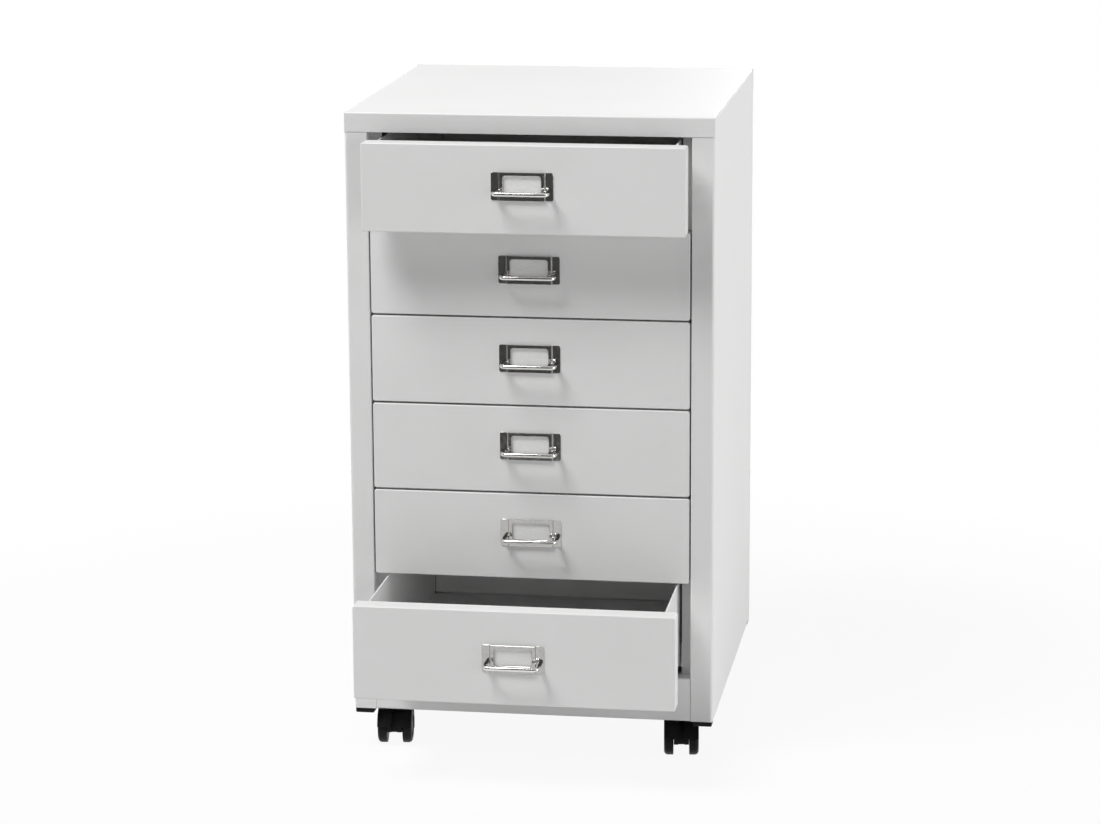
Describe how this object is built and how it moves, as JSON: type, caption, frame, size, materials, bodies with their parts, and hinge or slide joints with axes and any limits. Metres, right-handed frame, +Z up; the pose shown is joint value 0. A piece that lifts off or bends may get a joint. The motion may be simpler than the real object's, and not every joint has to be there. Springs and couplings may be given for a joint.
{
  "type": "mobile pedestal",
  "caption": "Wheeled steel drawer pedestal: inset drawers with wire pulls and card holders slide out of a folded-sheet carcass on swivel casters.",
  "frame": {"origin": "on the floor under the cabinet's middle line, halfway between the open bottom drawer's pull and the back panel's screw heads", "axes": "+X to the right seen from the front, +Y from the drawer fronts to the back, +Z up"},
  "size_m": [0.39, 0.5551, 0.6966],
  "materials": {
    "white_steel": "white satin powder coat",
    "plated_steel": "zinc plated",
    "bright_nickel": "bright nickel plate",
    "paper_card": "matt white card",
    "black_plastic": "fine moulded texture"
  },
  "bodies": {
    "carcass": {"side_panel_left": "white_steel", "side_panel_right": "white_steel", "top_panel": "white_steel", "bottom_panel": "white_steel", "back_panel": "white_steel", "runner_rails_left": "plated_steel", "runner_rails_right": "plated_steel", "foot_caps": "black_plastic", "caster_sockets": "plated_steel", "carcass_screws": "plated_steel"},
    "drawer_1": {"drawer_1_tray": "white_steel", "drawer_1_front": "white_steel", "drawer_1_label_plate": "bright_nickel", "drawer_1_card": "paper_card", "drawer_1_pull": "bright_nickel"},
    "drawer_2": {"drawer_2_tray": "white_steel", "drawer_2_front": "white_steel", "drawer_2_label_plate": "bright_nickel", "drawer_2_card": "paper_card", "drawer_2_pull": "bright_nickel"},
    "drawer_3": {"drawer_3_tray": "white_steel", "drawer_3_front": "white_steel", "drawer_3_label_plate": "bright_nickel", "drawer_3_card": "paper_card", "drawer_3_pull": "bright_nickel"},
    "drawer_4": {"drawer_4_tray": "white_steel", "drawer_4_front": "white_steel", "drawer_4_label_plate": "bright_nickel", "drawer_4_card": "paper_card", "drawer_4_pull": "bright_nickel"},
    "drawer_5": {"drawer_5_tray": "white_steel", "drawer_5_front": "white_steel", "drawer_5_label_plate": "bright_nickel", "drawer_5_card": "paper_card", "drawer_5_pull": "bright_nickel"},
    "drawer_6": {"drawer_6_tray": "white_steel", "drawer_6_front": "white_steel", "drawer_6_label_plate": "bright_nickel", "drawer_6_card": "paper_card", "drawer_6_pull": "bright_nickel"},
    "caster_front_left": {"caster_front_left_hood": "black_plastic", "caster_front_left_stem": "plated_steel", "caster_front_left_axle": "plated_steel"},
    "wheel_front_left_a": {"caster_front_left_wheel_a": "black_plastic"},
    "wheel_front_left_b": {"caster_front_left_wheel_b": "black_plastic"},
    "caster_front_right": {"caster_front_right_hood": "black_plastic", "caster_front_right_stem": "plated_steel", "caster_front_right_axle": "plated_steel"},
    "wheel_front_right_a": {"caster_front_right_wheel_a": "black_plastic"},
    "wheel_front_right_b": {"caster_front_right_wheel_b": "black_plastic"},
    "caster_rear_left": {"caster_rear_left_hood": "black_plastic", "caster_rear_left_stem": "plated_steel", "caster_rear_left_axle": "plated_steel"},
    "wheel_rear_left_a": {"caster_rear_left_wheel_a": "black_plastic"},
    "wheel_rear_left_b": {"caster_rear_left_wheel_b": "black_plastic"},
    "caster_rear_right": {"caster_rear_right_hood": "black_plastic", "caster_rear_right_stem": "plated_steel", "caster_rear_right_axle": "plated_steel"},
    "wheel_rear_right_a": {"caster_rear_right_wheel_a": "black_plastic"},
    "wheel_rear_right_b": {"caster_rear_right_wheel_b": "black_plastic"}
  },
  "joints": [
    {"name": "drawer_1_slide", "type": "slide", "parent": "carcass", "child": "drawer_1", "axis": [0, -1, 0], "range_m": [-0.042, 0.248]},
    {"name": "drawer_2_slide", "type": "slide", "parent": "carcass", "child": "drawer_2", "axis": [0, -1, 0], "range_m": [0, 0.29]},
    {"name": "drawer_3_slide", "type": "slide", "parent": "carcass", "child": "drawer_3", "axis": [0, -1, 0], "range_m": [0, 0.29]},
    {"name": "drawer_4_slide", "type": "slide", "parent": "carcass", "child": "drawer_4", "axis": [0, -1, 0], "range_m": [0, 0.29]},
    {"name": "drawer_5_slide", "type": "slide", "parent": "carcass", "child": "drawer_5", "axis": [0, -1, 0], "range_m": [0, 0.29]},
    {"name": "drawer_6_slide", "type": "slide", "parent": "carcass", "child": "drawer_6", "axis": [0, -1, 0], "range_m": [-0.123, 0.167]},
    {"name": "caster_front_left_swivel", "type": "hinge", "parent": "carcass", "child": "caster_front_left", "pos_m": [-0.157, -0.09425, 0.0596], "axis": [0, 0, 1], "continuous": true},
    {"name": "wheel_front_left_a_spin", "type": "hinge", "parent": "caster_front_left", "child": "wheel_front_left_a", "pos_m": [-0.15564, -0.10718, 0.0185], "axis": [-0.9945, -0.1045, 0], "continuous": true},
    {"name": "wheel_front_left_b_spin", "type": "hinge", "parent": "caster_front_left", "child": "wheel_front_left_b", "pos_m": [-0.15564, -0.10718, 0.0185], "axis": [-0.9945, -0.1045, 0], "continuous": true},
    {"name": "caster_front_right_swivel", "type": "hinge", "parent": "carcass", "child": "caster_front_right", "pos_m": [0.157, -0.09425, 0.0596], "axis": [0, 0, 1], "continuous": true},
    {"name": "wheel_front_right_a_spin", "type": "hinge", "parent": "caster_front_right", "child": "wheel_front_right_a", "pos_m": [0.15858, -0.10715, 0.0185], "axis": [-0.9925, -0.1219, 0], "continuous": true},
    {"name": "wheel_front_right_b_spin", "type": "hinge", "parent": "caster_front_right", "child": "wheel_front_right_b", "pos_m": [0.15858, -0.10715, 0.0185], "axis": [-0.9925, -0.1219, 0], "continuous": true},
    {"name": "caster_rear_left_swivel", "type": "hinge", "parent": "carcass", "child": "caster_rear_left", "pos_m": [-0.157, 0.23575, 0.0596], "axis": [0, 0, 1], "continuous": true},
    {"name": "wheel_rear_left_a_spin", "type": "hinge", "parent": "caster_rear_left", "child": "wheel_rear_left_a", "pos_m": [-0.149, 0.24599, 0.0185], "axis": [0.788, -0.6157, 0], "continuous": true},
    {"name": "wheel_rear_left_b_spin", "type": "hinge", "parent": "caster_rear_left", "child": "wheel_rear_left_b", "pos_m": [-0.149, 0.24599, 0.0185], "axis": [0.788, -0.6157, 0], "continuous": true},
    {"name": "caster_rear_right_swivel", "type": "hinge", "parent": "carcass", "child": "caster_rear_right", "pos_m": [0.157, 0.23575, 0.0596], "axis": [0, 0, 1], "continuous": true},
    {"name": "wheel_rear_right_a_spin", "type": "hinge", "parent": "caster_rear_right", "child": "wheel_rear_right_a", "pos_m": [0.15171, 0.24763, 0.0185], "axis": [0.9135, 0.4067, 0], "continuous": true},
    {"name": "wheel_rear_right_b_spin", "type": "hinge", "parent": "caster_rear_right", "child": "wheel_rear_right_b", "pos_m": [0.15171, 0.24763, 0.0185], "axis": [0.9135, 0.4067, 0], "continuous": true}
  ]
}
